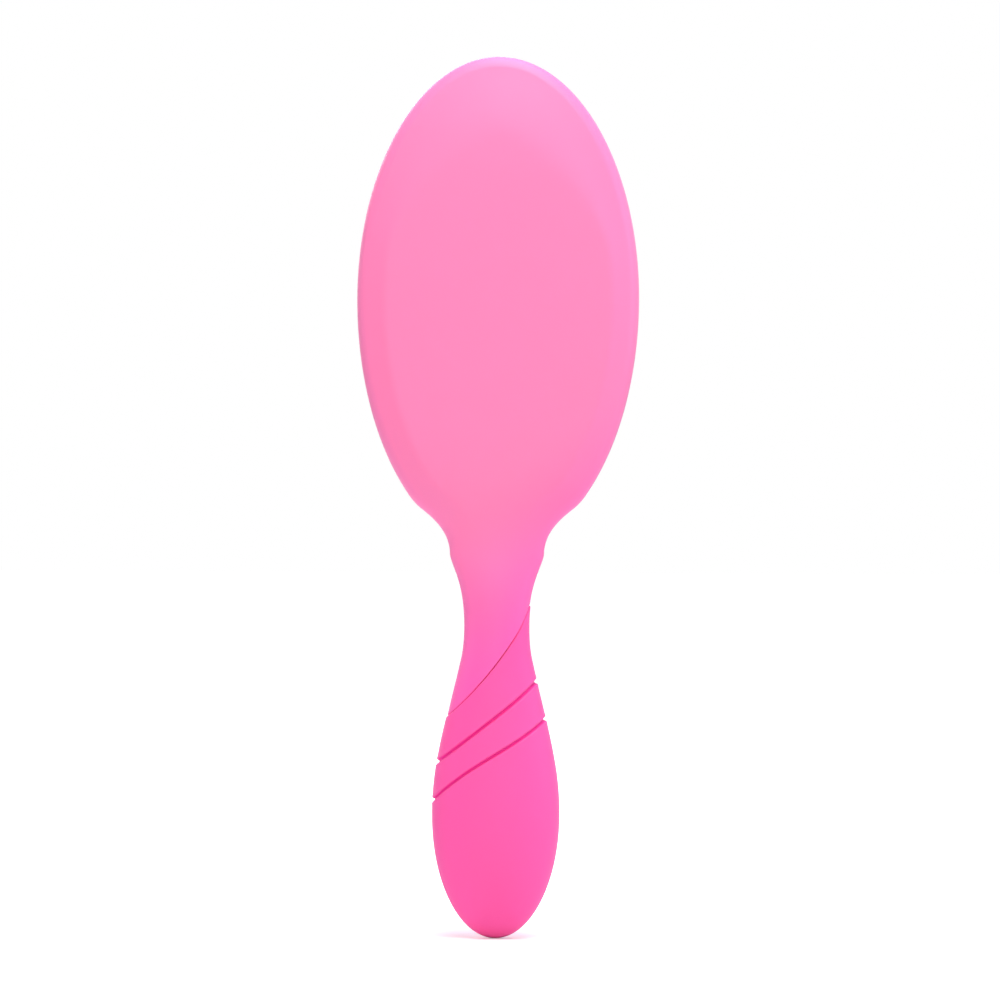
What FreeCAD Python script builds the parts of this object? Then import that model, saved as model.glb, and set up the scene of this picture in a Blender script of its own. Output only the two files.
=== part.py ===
import FreeCAD, Part
import math
import os
import Sketcher

# A hand brush, upright. +Z runs up the handle to the head, +Y is the bristle side and +X is the right
# hand side seen from the back. The origin is on the handle's axis at the grip's widest section.
# Every length is in millimetres and every angle in degrees.

SIZES = [
    # Handle: elliptical sections, each one a rise above the one below it
    ("grip_half_width", 16.1),
    ("grip_half_depth", 10.6),
    ("tip_drop", 31.0),
    ("shoulder_half_width", 14.05),
    ("shoulder_half_depth", 9.2),
    ("shoulder_rise", 18.0),
    ("taper_half_width", 9.85),
    ("taper_half_depth", 6.4),
    ("taper_rise", 18.0),
    ("waist_half_width", 8.4),
    ("waist_half_depth", 5.5),
    ("waist_rise", 11.0),
    ("neck_half_width", 9.4),
    ("neck_half_depth", 5.8),
    ("neck_rise", 10.0),
    ("root_half_width", 11.5),
    ("root_back", 6.4),
    ("root_rise", 8.0),
    ("root_reach", 11.0),
    # Grip sleeve: its wall over the handle core, its slanted upper edge and its two grooves
    ("grip_wall", 1.8),
    ("grip_proud", 0.2),
    ("seam_height", 38.3),
    ("seam_slant", 52.0),
    ("seam_radius", 100.0),
    ("seam_gap", 0.2),
    ("groove_width", 1.0),
    ("groove_depth", 0.55),
    ("upper_groove_height", 25.0),
    ("upper_groove_slant", 40.4),
    ("lower_groove_height", 15.7),
    ("lower_groove_slant", 34.2),
    # Head: an oval dish whose open side is the rim
    ("head_half_width", 35.5),
    ("head_half_height", 62.2),
    ("rim_level", 2.0),
    ("head_depth", 10.0),
    ("back_edge_radius", 7.0),
    ("back_wall", 2.4),
    ("cavity_inset", 5.2),
    ("cavity_edge_radius", 4.0),
    # Tail: the square end below the head, with a flared side
    ("tail_reach", 1.6),
    ("tail_half_width", 11.84),
    ("tail_depth", 6.0),
    ("tail_edge_radius", 1.5),
    ("flare_lift", 2.2),
    ("flare_rise", 13.2),
    ("flare_inset", 1.2),
    # Front frame and its weld tongue
    ("frame_thickness", 3.0),
    ("frame_band", 5.0),
    ("frame_edge_radius", 0.8),
    ("weld_inset", 1.0),
    ("weld_width", 1.0),
    ("weld_height", 1.0),
    ("weld_clearance", 0.05),
    # Cushion: flange, straight side, dome that overhangs the side, and vent
    ("flange_inset", 3.0),
    ("flange_thickness", 1.5),
    ("flange_clearance", 0.1),
    ("cushion_clearance", 0.3),
    ("cushion_rise", 7.5),
    ("dome_height", 6.8),
    ("dome_overhang", 3.0),
    ("membrane", 1.2),
    ("vent_radius", 0.7),
    ("vent_inset", 3.5),
    # Bristles: a staggered field of headed pins with a bead on each end
    ("row_pitch", 6.0),
    ("field_side_inset", 8.5),
    ("column_margin", 2.0),
    ("field_end_inset", 10.2),
    ("pin_length", 18.0),
    ("pin_root_radius", 0.6),
    ("pin_end_radius", 0.42),
    ("pin_head_radius", 1.7),
    ("pin_head_thickness", 0.8),
    ("pin_seat_clearance", 0.45),
    ("pin_hole_clearance", 0.6),
    ("bead_radius", 0.85),
    # How far a cutting shape runs past what it cuts
    ("overrun", 5.0),
]

# How many columns of bristles stand on each side of the middle one
SIDE_COLUMNS = 5

# Places and sizes that follow from the ones above
DERIVED = [
    ("shoulder_height", "sizes.shoulder_rise"),
    ("taper_height", "shoulder_height + sizes.taper_rise"),
    ("waist_height", "taper_height + sizes.waist_rise"),
    ("neck_height", "waist_height + sizes.neck_rise"),
    ("tail_end", "neck_height + sizes.root_rise"),
    ("root_end", "tail_end + sizes.root_reach"),
    ("head_center", "tail_end + sizes.tail_reach + sizes.head_half_height"),
    # The flare ends inside the head's oval, and its arc leaves the tail's side without a corner
    ("oval_share", "1 - (sizes.flare_rise - sizes.tail_reach) / sizes.head_half_height"),
    ("flare_half_width", "sizes.head_half_width * sqrt(1 - oval_share ^ 2) - sizes.flare_inset"),
    ("flare_spread", "flare_half_width - sizes.tail_half_width"),
    ("flare_height", "sizes.flare_rise - sizes.flare_lift"),
    ("flare_radius", "(flare_spread ^ 2 + flare_height ^ 2) / (2 * flare_spread)"),
    ("frame_front", "sizes.rim_level + sizes.frame_thickness"),
    ("root_half_depth", "(frame_front + sizes.root_back) / 2"),
    ("root_center", "(frame_front - sizes.root_back) / 2"),
    ("crown_level", "sizes.rim_level + sizes.cushion_rise"),
    ("dome_center", "crown_level - sizes.dome_height"),
    ("cushion_inset", "sizes.frame_band + sizes.cushion_clearance"),
    ("bore_inset", "cushion_inset + sizes.membrane"),
    ("field_half_width", "sizes.head_half_width - sizes.field_side_inset"),
    ("field_half_height", "sizes.head_half_height - sizes.field_end_inset"),
    ("column_pitch", f"(field_half_width - sizes.column_margin) / {SIDE_COLUMNS}"),
    ("handle_reach", "sizes.grip_half_depth + sizes.overrun"),
]

doc = FreeCAD.newDocument("hand_brush")


def fill_sheet(name, rows):
    """A sheet with one named cell for each row."""
    sheet = doc.addObject("Spreadsheet::Sheet", name)
    for number, (alias, content) in enumerate(rows, start=1):
        cell = f"B{number}"
        sheet.set(f"A{number}", alias)
        sheet.setAlias(cell, alias)
        sheet.set(cell, f"={content}" if isinstance(content, str) else str(content))
    doc.recompute()
    return sheet


sizes = fill_sheet("sizes", SIZES)
derived = fill_sheet("derived", DERIVED)


def size(expression):
    """The value of an expression of the sheets' named cells."""
    return float(derived.evalExpression(expression))


def bind(target, **expressions):
    """Tie properties to expressions. A double underscore in a name stands for a dot."""
    for name, expression in expressions.items():
        target.setExpression(name.replace("__", "."), expression)


def new_body(name):
    return doc.addObject("PartDesign::Body", name)


def new_sketch(body, name, role, up="0", level="0"):
    """A sketch on one of its body's origin planes, moved up in the plane and along its normal."""
    sketch = body.newObject("Sketcher::SketchObject", name)
    plane = next(item for item in body.Origin.OriginFeatures if item.Role == role)
    sketch.AttachmentSupport = [(plane, "")]
    sketch.MapMode = "FlatFace"
    bind(sketch, AttachmentOffset__Base__y=up, AttachmentOffset__Base__z=level)
    return sketch


def set_length(sketch, kind, places, expression):
    """A dimension of a sketch that follows an expression."""
    number = sketch.addConstraint(Sketcher.Constraint(kind, *places, size(expression)))
    sketch.setExpression(f"Constraints[{number}]", expression)


def draw_ellipse(sketch, half_width, half_height):
    """A whole ellipse about the sketch's origin."""
    across = size(half_width)
    upright = size(half_height)
    tall = upright > across
    ends = [FreeCAD.Vector(0, upright, 0), FreeCAD.Vector(across, 0, 0)]
    halves = [half_height, half_width]
    if not tall:
        ends.reverse()
        halves.reverse()
    curve = sketch.addGeometry(Part.Ellipse(*ends, FreeCAD.Vector(0, 0, 0)))
    sketch.exposeInternalGeometry(curve)
    long_axis = curve + 1
    short_axis = curve + 2
    sketch.addConstraint(Sketcher.Constraint("Coincident", curve, 3, -1, 1))
    sketch.addConstraint(Sketcher.Constraint("Vertical" if tall else "Horizontal", long_axis))
    set_length(sketch, "Distance", (long_axis,), f"2 * ({halves[0]})")
    set_length(sketch, "Distance", (short_axis,), f"2 * ({halves[1]})")


def draw_tail(sketch):
    """The tail's outline: a square end, short upright sides and flared arcs, closed inside the head."""
    half = size("sizes.tail_half_width")
    lift = size("sizes.flare_lift")
    rise = size("sizes.flare_rise")
    radius = size("derived.flare_radius")
    spread = size("derived.flare_spread")
    turn = math.acos(1 - spread / radius)
    corners = [(half, 0), (half, lift), (half + spread, rise)]
    right = [FreeCAD.Vector(across, up, 0) for across, up in corners]
    left = [FreeCAD.Vector(-point.x, point.y, 0) for point in right]
    normal = FreeCAD.Vector(0, 0, 1)
    right_circle = Part.Circle(FreeCAD.Vector(half + radius, lift, 0), normal, radius)
    left_circle = Part.Circle(FreeCAD.Vector(-half - radius, lift, 0), normal, radius)
    end = sketch.addGeometry(Part.LineSegment(left[0], right[0]))
    right_side = sketch.addGeometry(Part.LineSegment(right[0], right[1]))
    right_flare = sketch.addGeometry(Part.ArcOfCircle(right_circle, math.pi - turn, math.pi))
    top = sketch.addGeometry(Part.LineSegment(right[2], left[2]))
    left_flare = sketch.addGeometry(Part.ArcOfCircle(left_circle, 0, turn))
    left_side = sketch.addGeometry(Part.LineSegment(left[1], left[0]))
    for kind, *places in [
        ("Coincident", end, 2, right_side, 1),
        ("Tangent", right_side, 2, right_flare, 2),
        ("Coincident", right_flare, 1, top, 1),
        ("Coincident", top, 2, left_flare, 2),
        ("Tangent", left_flare, 1, left_side, 1),
        ("Coincident", left_side, 2, end, 1),
        ("Symmetric", end, 1, end, 2, -1, 1),
        ("Symmetric", top, 1, top, 2, -2),
        ("Horizontal", end),
        ("Vertical", right_side),
        ("Equal", right_side, left_side),
        ("Equal", right_flare, left_flare),
    ]:
        sketch.addConstraint(Sketcher.Constraint(kind, *places))
    set_length(sketch, "Distance", (end,), "2 * sizes.tail_half_width")
    set_length(sketch, "Distance", (right_side,), "sizes.flare_lift")
    set_length(sketch, "Radius", (right_flare,), "derived.flare_radius")
    set_length(sketch, "Distance", (top,), "2 * derived.flare_half_width")


def add_pad(body, sketch, name, length, forward=False):
    """Thicken a sketch, towards the back of the brush or forward to the bristle side."""
    pad = body.newObject("PartDesign::Pad", name)
    pad.Profile = sketch
    pad.Reversed = forward
    bind(pad, Length=length)
    return pad


def head_oval(body, name, inset, level):
    """A sketch of the head's oval, drawn in by an inset, at a level from back to front."""
    sketch = new_sketch(body, name, "XZ_Plane", "derived.head_center", f"-({level})")
    draw_ellipse(sketch, f"sizes.head_half_width - ({inset})", f"sizes.head_half_height - ({inset})")
    return sketch


def oval_plate(name, inset, level, depth):
    """A body that is a plate of the head's oval, from a level towards the back."""
    body = new_body(name)
    add_pad(body, head_oval(body, f"{name}_outline", inset, level), f"{name}_pad", depth)
    return body


def round_edges(body, name, radius, chosen):
    """Round the edges of the body's last feature that the test picks."""
    doc.recompute()
    base = body.Tip
    edges = [f"Edge{n}" for n, edge in enumerate(base.Shape.Edges, start=1) if chosen(edge)]
    rounded = body.newObject("PartDesign::Fillet", name)
    rounded.Base = (base, edges)
    bind(rounded, Radius=radius)


def lies_at(level):
    """A test for edges that lie in the plane at a level from back to front."""
    place = size(level)

    def test(edge):
        box = edge.BoundBox
        return math.isclose(box.YMin, place, abs_tol=1e-4) and math.isclose(box.YMax, place, abs_tol=1e-4)

    return test


def join(kind, name, *shapes):
    """A fuse or a common of several shapes, or the first one cut by the second."""
    made = doc.addObject(kind, name)
    if kind == "Part::Cut":
        made.Base, made.Tool = shapes
    else:
        made.Shapes = list(shapes)
    return made


def handle_form(name, inset):
    """The handle drawn in by an inset all round: a loft of ellipses with a half ellipsoid as its tip."""
    body = new_body(name)
    sections = []
    for place in ("grip", "shoulder", "taper", "waist", "neck", "root", "end"):
        height = {"grip": "0", "root": "derived.tail_end", "end": "derived.root_end"}.get(place)
        rooted = place in ("root", "end")
        level = "derived.root_center" if rooted else "0"
        sketch = new_sketch(body, f"{name}_{place}", "XY_Plane", level, height or f"derived.{place}_height")
        half_width = f"sizes.{'root' if rooted else place}_half_width - ({inset})"
        half_depth = "derived.root_half_depth" if rooted else f"sizes.{place}_half_depth"
        draw_ellipse(sketch, half_width, f"{half_depth} - ({inset})")
        sections.append(sketch)
    loft = body.newObject("PartDesign::AdditiveLoft", f"{name}_loft")
    loft.Profile = sections[0]
    loft.Sections = sections[1:]
    tip = body.newObject("PartDesign::AdditiveEllipsoid", f"{name}_tip")
    bind(
        tip,
        Radius1=f"sizes.tip_drop - ({inset})",
        Radius2=f"sizes.grip_half_width - ({inset})",
        Radius3=f"sizes.grip_half_depth - ({inset})",
    )
    tip.Angle2 = 0
    return body


def seam_form(name, gap):
    """The round column, across the handle, that the slanted upper edge of the grip follows."""
    column = doc.addObject("Part::Cylinder", name)
    column.Placement = FreeCAD.Placement(FreeCAD.Vector(), FreeCAD.Rotation(FreeCAD.Vector(1, 0, 0), 90))
    bind(
        column,
        Radius=f"sizes.seam_radius + {gap}",
        Height="2 * derived.handle_reach",
        Placement__Base__x="-sizes.seam_radius * sin(sizes.seam_slant)",
        Placement__Base__y="derived.handle_reach",
        Placement__Base__z="sizes.seam_height + sizes.seam_radius * cos(sizes.seam_slant)",
    )
    return column


def groove_band(name):
    """A slanted slab as thick as the groove is wide, right through the handle."""
    slab = doc.addObject("Part::Box", name)
    slab.Placement = FreeCAD.Placement(FreeCAD.Vector(), FreeCAD.Rotation(FreeCAD.Vector(0, -1, 0), 1))
    reach = "(2 * sizes.grip_half_width)"
    slant = f"sizes.{name}_slant"
    bind(
        slab,
        Length=f"2 * {reach}",
        Width="2 * derived.handle_reach",
        Height="sizes.groove_width",
        Placement__Rotation__Angle=slant,
        Placement__Base__x=f"-{reach} * cos({slant}) + sizes.groove_width / 2 * sin({slant})",
        Placement__Base__y="-derived.handle_reach",
        Placement__Base__z=f"sizes.{name}_height - {reach} * sin({slant})"
        f" - sizes.groove_width / 2 * cos({slant})",
    )
    return slab


def make_shell(core):
    """Head back, neck and handle core in one moulding, hollowed for the cushion's air space."""
    head = oval_plate("head_blank", "0", "sizes.rim_level", "sizes.head_depth")
    head_back = lies_at("sizes.rim_level - sizes.head_depth")
    round_edges(head, "head_back_round", "sizes.back_edge_radius", head_back)
    tail = new_body("tail_blank")
    add_tail(tail, "tail", "sizes.tail_depth")
    inside = size("derived.tail_end + (sizes.flare_lift + sizes.flare_rise) / 2")
    at_back = lies_at("sizes.rim_level - sizes.tail_depth")
    round_edges(
        tail,
        "tail_back_round",
        "sizes.tail_edge_radius",
        lambda edge: at_back(edge) and edge.BoundBox.ZMin < inside,
    )
    neck = handle_form("neck_form", "sizes.grip_proud")
    bare_neck = join("Part::MultiCommon", "bare_neck", neck, seam_form("seam", "0"))
    blank = join("Part::MultiFuse", "shell_blank", head, tail, bare_neck, core)
    cavity_depth = "sizes.head_depth - sizes.back_wall"
    cavity = oval_plate("cavity_form", "sizes.cavity_inset", "sizes.rim_level", cavity_depth)
    cavity_floor = lies_at(f"sizes.rim_level - ({cavity_depth})")
    round_edges(cavity, "cavity_round", "sizes.cavity_edge_radius", cavity_floor)
    recess = oval_plate("recess_form", "sizes.flange_inset", "sizes.rim_level", "sizes.flange_thickness")
    groove = new_body("weld_groove_form")
    add_weld_ring(groove, "weld_groove", "sizes.weld_clearance")
    seat = doc.addObject("Part::Box", "tail_seat_form")
    bind(
        seat,
        Length="2 * sizes.head_half_width",
        Width="derived.handle_reach",
        Height="derived.root_end - derived.tail_end + sizes.overrun",
        Placement__Base__x="-sizes.head_half_width",
        Placement__Base__y="sizes.rim_level",
        Placement__Base__z="derived.tail_end",
    )
    hollows = join("Part::MultiFuse", "shell_hollows", cavity, recess, groove, seat)
    return join("Part::Cut", "body_shell", blank, hollows)


def add_tail(body, name, depth, forward=False):
    """A plate of the tail's outline, from the rim to the back or to the front."""
    sketch = new_sketch(body, f"{name}_outline", "XZ_Plane", "derived.tail_end", "-sizes.rim_level")
    draw_tail(sketch)
    add_pad(body, sketch, f"{name}_pad", depth, forward)


def add_weld_ring(body, name, clearance):
    """The weld tongue, or the groove that takes it with a clearance, from the rim towards the back."""
    sketch = head_oval(body, f"{name}_outline", f"sizes.weld_inset - {clearance}", "sizes.rim_level")
    inner = f"sizes.weld_inset + sizes.weld_width + {clearance}"
    draw_ellipse(sketch, f"sizes.head_half_width - ({inner})", f"sizes.head_half_height - ({inner})")
    add_pad(body, sketch, f"{name}_pad", f"sizes.weld_height + {clearance}")


def make_frame():
    """The oval ring over the rim, with the tail, the cushion's opening and the weld tongue."""
    body = new_body("front_frame")
    outline = head_oval(body, "frame_outline", "0", "sizes.rim_level")
    add_pad(body, outline, "frame_pad", "sizes.frame_thickness", forward=True)
    add_tail(body, "frame_tail", "sizes.frame_thickness", forward=True)
    pocket = body.newObject("PartDesign::Pocket", "frame_opening")
    pocket.Profile = head_oval(body, "frame_opening_outline", "sizes.frame_band", "derived.frame_front")
    pocket.Reversed = True
    bind(pocket, Length="sizes.frame_thickness")
    at_front = lies_at("derived.frame_front")
    middle = size("derived.head_center")
    round_edges(
        body,
        "frame_front_round",
        "sizes.frame_edge_radius",
        lambda edge: at_front(edge) and edge.BoundBox.ZMax > middle,
    )
    add_weld_ring(body, "weld_tongue", "0")
    return body


def make_grip(core):
    """The sleeve over the handle core, cut off along the slanted seam, with two grooves."""
    skin = handle_form("grip_form", "0")
    grooves = [groove_band(name) for name in ("upper_groove", "lower_groove")]
    bands = join("Part::MultiFuse", "groove_bands", *grooves)
    banded = join("Part::Cut", "banded_skin", skin, bands)
    floor = handle_form("groove_floor_form", "sizes.groove_depth")
    sleeve = join("Part::MultiFuse", "sleeve", banded, floor)
    trimmed = join("Part::Cut", "trimmed_sleeve", sleeve, seam_form("seam_with_gap", "sizes.seam_gap"))
    return join("Part::Cut", "grip", trimmed, core)


def domed_plug(name, inset, wall):
    """A plug of the head's oval from behind the flange up to a dome, which is part of an ellipsoid."""
    depth = "sizes.cushion_rise + sizes.flange_thickness + sizes.overrun"
    plug = oval_plate(f"{name}_side", inset, "derived.crown_level + sizes.overrun", f"{depth} + ({wall})")
    dome = doc.addObject("Part::Ellipsoid", f"{name}_dome")
    bind(
        dome,
        Radius1=f"sizes.head_half_height - {inset} + sizes.dome_overhang",
        Radius2=f"sizes.head_half_width - {inset} + sizes.dome_overhang",
        Radius3=f"sizes.dome_height - ({wall})",
        Placement__Base__y="derived.dome_center",
        Placement__Base__z="derived.head_center",
    )
    return join("Part::MultiCommon", name, plug, dome)


def pin_places():
    """The places of the pins, column by column: how far across, how high and how far forward."""
    pitch = size("derived.column_pitch")
    row = size("sizes.row_pitch")
    half_width = size("derived.field_half_width")
    half_height = size("derived.field_half_height")
    columns = []
    for column in range(-SIDE_COLUMNS, SIDE_COLUMNS + 1):
        across = column * pitch
        reach = half_height * math.sqrt(1 - (across / half_width) ** 2)
        start = row / 2 if column % 2 else 0
        rows = range(-int((reach + start) / row), int((reach - start) / row) + 1)
        heights = [start + number * row for number in rows]
        columns.append((across, [(height, seat_level(across, height)) for height in heights]))
    return columns


def seat_level(across, height):
    """How far forward a pin's head reaches: just behind the membrane at the head's outermost point."""
    head = size("sizes.pin_head_radius")
    wide = (abs(across) + head) / size("sizes.head_half_width - derived.bore_inset + sizes.dome_overhang")
    tall = (abs(height) + head) / size("sizes.head_half_height - derived.bore_inset + sizes.dome_overhang")
    rise = size("sizes.dome_height - sizes.membrane") * math.sqrt(1 - wide**2 - tall**2)
    return size("derived.dome_center - sizes.pin_seat_clearance") + rise


def spread_over(shape, places):
    """Copies of a shape at a column's places, as one group of separate solids."""
    return Part.makeCompound(
        [shape.translated(FreeCAD.Vector(0, level, height)) for height, level in places]
    )


def add_group(name, shape, across):
    """A node that is a group of solids, placed at its column on the head."""
    group = doc.addObject("Part::Feature", name)
    group.Shape = shape
    group.Placement = FreeCAD.Placement(
        FreeCAD.Vector(across, 0, size("derived.head_center")), FreeCAD.Rotation()
    )
    return group


def make_cushion(columns):
    """A domed membrane with a clamped flange, pierced for every pin and vented near its lower end."""
    flange_inset = "sizes.flange_inset + sizes.flange_clearance"
    flange = oval_plate("flange_form", flange_inset, "sizes.rim_level", "sizes.flange_thickness")
    plug = domed_plug("cushion_plug", "derived.cushion_inset", "0")
    outside = join("Part::MultiFuse", "cushion_outside", flange, plug)
    air = domed_plug("air_space", "derived.bore_inset", "sizes.membrane")
    skin = join("Part::Cut", "cushion_skin", outside, air)
    forward = FreeCAD.Vector(0, 1, 0)
    height = size("sizes.cushion_rise + sizes.overrun")
    start = size("sizes.rim_level")
    hole_radius = size("sizes.pin_root_radius + sizes.pin_hole_clearance")
    hole = Part.makeCylinder(hole_radius, height, FreeCAD.Vector(), forward)
    vent = Part.makeCylinder(size("sizes.vent_radius"), height, FreeCAD.Vector(), forward)
    vent_height = -size("sizes.head_half_height - derived.bore_inset - sizes.vent_inset")
    cuts = [vent.translated(FreeCAD.Vector(0, start, vent_height))]
    for across, places in columns:
        cuts += [hole.translated(FreeCAD.Vector(across, start, place)) for place, level in places]
    holes = add_group("cushion_holes", Part.makeCompound(cuts), 0)
    return join("Part::Cut", "cushion", skin, holes)


def make_pin():
    """One pin along +Y, with the front of its head at the origin: a flat head and a tapered shank."""
    body = new_body("pin_form")
    sketch = new_sketch(body, "pin_outline", "XY_Plane")
    head = size("sizes.pin_head_radius")
    back = -size("sizes.pin_head_thickness")
    root = size("sizes.pin_root_radius")
    end = size("sizes.pin_end_radius")
    length = size("sizes.pin_length")
    corners = [(0, back), (head, back), (head, 0), (root, 0), (end, length), (0, length)]
    points = [FreeCAD.Vector(x, y, 0) for x, y in corners]
    lines = [sketch.addGeometry(Part.LineSegment(*pair)) for pair in zip(points, points[1:] + points[:1])]
    for line, following in zip(lines, lines[1:] + lines[:1]):
        sketch.addConstraint(Sketcher.Constraint("Coincident", line, 2, following, 1))
    under, rim, face, shank, top, axis = lines
    for line in (under, face, top):
        sketch.addConstraint(Sketcher.Constraint("Horizontal", line))
    for line in (rim, axis):
        sketch.addConstraint(Sketcher.Constraint("Vertical", line))
    sketch.addConstraint(Sketcher.Constraint("PointOnObject", axis, 1, -2))
    sketch.addConstraint(Sketcher.Constraint("PointOnObject", face, 1, -1))
    set_length(sketch, "Distance", (under,), "sizes.pin_head_radius")
    set_length(sketch, "Distance", (rim,), "sizes.pin_head_thickness")
    set_length(sketch, "Distance", (top,), "sizes.pin_end_radius")
    set_length(sketch, "DistanceX", (-1, 1, shank, 1), "sizes.pin_root_radius")
    set_length(sketch, "DistanceY", (-1, 1, shank, 2), "sizes.pin_length")
    turned = body.newObject("PartDesign::Revolution", "pin_turned")
    turned.Profile = sketch
    turned.ReferenceAxis = (sketch, ["V_Axis"])
    return body


def make_bead(pin):
    """One bead round the end of the pin, which fills it to its middle."""
    ball = doc.addObject("Part::Sphere", "bead_ball")
    bind(ball, Radius="sizes.bead_radius", Placement__Base__y="sizes.pin_length")
    return join("Part::Cut", "bead_form", ball, pin)


core_form = handle_form("core_form", "sizes.grip_wall")
pin_columns = pin_places()
pin_form = make_pin()
bead_form = make_bead(pin_form)
nodes = [make_shell(core_form), make_frame(), make_grip(core_form), make_cushion(pin_columns)]
doc.recompute()
for number, (across, places) in enumerate(pin_columns, start=1):
    nodes.append(add_group(f"bristles_{number:02d}", spread_over(pin_form.Shape, places), across))
    nodes.append(add_group(f"tips_{number:02d}", spread_over(bead_form.Shape, places), across))
    levels = [level for place, level in places]
    swing_level = (min(levels) + max(levels)) / 2 + size("sizes.pin_seat_clearance + sizes.membrane / 2")
    print(f"column {number}: {len(places)} pins at {across:.2f}, leaning about the level {swing_level:.3f}")
doc.recompute()

failed = [item.Label for item in doc.Objects if {"Invalid", "Error"} & set(item.State)]
failed += [node.Label for node in nodes if node.Shape.isNull() or not node.Shape.isValid()]
if failed:
    raise RuntimeError(f"not built: {failed}")

os.makedirs("parts", exist_ok=True)
for node in nodes:
    node.Shape.exportStep(f"parts/{node.Label}.step")
    print(f"{node.Label}: {len(node.Shape.Solids)} solids, {node.Shape.Volume:.1f} mm3")
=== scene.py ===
import math
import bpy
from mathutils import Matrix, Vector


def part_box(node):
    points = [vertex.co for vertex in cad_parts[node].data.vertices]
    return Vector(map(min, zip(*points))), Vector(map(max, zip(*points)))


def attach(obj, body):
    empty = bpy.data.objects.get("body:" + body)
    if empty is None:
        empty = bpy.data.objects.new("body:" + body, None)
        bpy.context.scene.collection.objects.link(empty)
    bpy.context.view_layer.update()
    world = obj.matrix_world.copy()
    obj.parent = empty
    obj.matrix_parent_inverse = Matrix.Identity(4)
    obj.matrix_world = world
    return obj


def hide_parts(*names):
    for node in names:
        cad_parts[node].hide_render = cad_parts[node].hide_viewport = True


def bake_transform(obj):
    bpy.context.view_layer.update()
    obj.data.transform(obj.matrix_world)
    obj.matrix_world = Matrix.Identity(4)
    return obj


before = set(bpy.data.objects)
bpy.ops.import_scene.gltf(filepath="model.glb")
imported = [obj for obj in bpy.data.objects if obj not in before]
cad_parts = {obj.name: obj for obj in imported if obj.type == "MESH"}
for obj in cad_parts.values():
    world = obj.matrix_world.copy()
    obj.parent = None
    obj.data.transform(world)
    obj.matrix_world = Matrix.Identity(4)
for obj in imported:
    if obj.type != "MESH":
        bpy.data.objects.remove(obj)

from types import SimpleNamespace

import bmesh
import bpy
import numpy as np

bl_info = {
    "name": "Detangling brush",
    "version": (1, 0, 0),
    "blender": (4, 5, 0),
    "location": "3D View > Sidebar > Brush",
    "description": "Dresses the brush's frame with its moulded, overmoulded and bristled surfaces",
    "category": "Add Mesh",
}

MM = 0.001
# Lengths and heights below are in millimetres, heights from the grip's widest section.
SEAM_RISE = 1.6                        # height gained for each millimetre square to the seam
SEAM_SLANT = math.radians(52)          # slope of the seam where it crosses the axis
SEAM_BEND, SEAM_STEEPER = 5.0, 0.16    # where the seam begins to steepen to the right, and how fast
NECK_SLANT = (-0.62, 0, 0.78)          # direction square to the seam, up the neck, along which the painted neck shade fades out
NECK_SHADE_TOP, NECK_SHADE_END = 68.0, 25.0        # where the painted shade down the neck begins and where it is darkest
LOWER_RISE = math.hypot(1, 0.6)        # height gained for each millimetre square to the lower groove
UPPER_RISE = math.hypot(1, 0.8)        # the same for the upper groove
GROOVE_NEAR = 1.6                      # how far from a groove's middle the fine rows reach
LIP_NEAR = 1.8                         # how far below the seam the fine rows reach
SHOULDER_TOP = 81.0                    # height at which the shoulder has become the head's oval
HEAD_BEGINS = 84.0                     # height at which the neck's section has become the head's
ROLL_LOW, ROLL_HIGH = 140.0, 180.0     # heights between which the head's facet turns into a soft roll
ROLL_WIDENS, ROLL_SOFTENS = 7.5, 0.9   # how much wider the facet and softer its crease are there
SIDE_DROP, SIDE_REACH = 0.55, 28.0     # how far the back falls at this distance to the side
CORE_END, CORE_INSET = 14.0, 1.2       # where the core inside the grip ends, and its wall's depth
PARTING = 0.2                          # bevel beside the parting line of shell and frame
PARTING_GAP = 0.02                     # half the gap in that line
TAIL_CORNER = 1.3                      # radius of the corners of the frame's square end
SHOULDER_ROUND = 1.6                   # radius of the cushion's shoulder
COLLAR_HEIGHT, COLLAR_RADIUS, COLLAR_FALL = 0.35, 0.8, 0.7
VENT_PLACE = 4.7                       # the vent's distance from the cushion's lower end
VENT_DEPTH, VENT_FLOOR, VENT_EDGE = 1.0, 0.5, 0.85
DISH_DEPTH = 2.5                       # how far the shell is hollowed under the cushion
DISH_SLOPE = 0.07                      # share of the cushion's half width over which the hollow's side falls
UNDER_RIM, UNDER_DEEP = 0.05, -1.4     # the cushion's underside at its edge and in the hollow, from the rim
BEAD_DRAWN = 1.35                      # how much longer a bead is towards the bristle
ROUND_SIDES = 10                       # sides of a bristle and of a bead
WELD = 2e-6                            # corners closer than this, in metres, are one
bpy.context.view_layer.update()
shell_low, shell_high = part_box("body_shell")
grip_low, grip_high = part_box("grip")

# Half-widths of the handle from the grip's widest section up to the head's root, as (height, half-width).
HANDLE_WIDTHS = (
    (-9.0, 15.41), (0.0, 16.1), (9.0, 15.6), (18.0, 14.05), (27.0, 11.95), (36.0, 9.75), (41.5, 8.58),
    (47.0, 8.2), (52.2, 8.42), (56.7, 9.09), (61.2, 10.39), (63.6, 11.28), (65.0, 11.74), (66.4, 11.88),
)
# Half-widths of the flared shoulder, from the tail's square end out to the head's oval.
SHOULDER_WIDTHS = (
    (63.6, 11.28), (65.0, 11.74), (67.3, 11.98), (68.8, 12.33), (70.3, 12.91), (71.8, 13.76), (73.3, 14.9),
    (74.8, 16.32), (76.35, 18.1), (77.9, 19.98), (79.4, 21.37), (81.0, 22.58), (83.0, 23.9),
)
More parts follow.
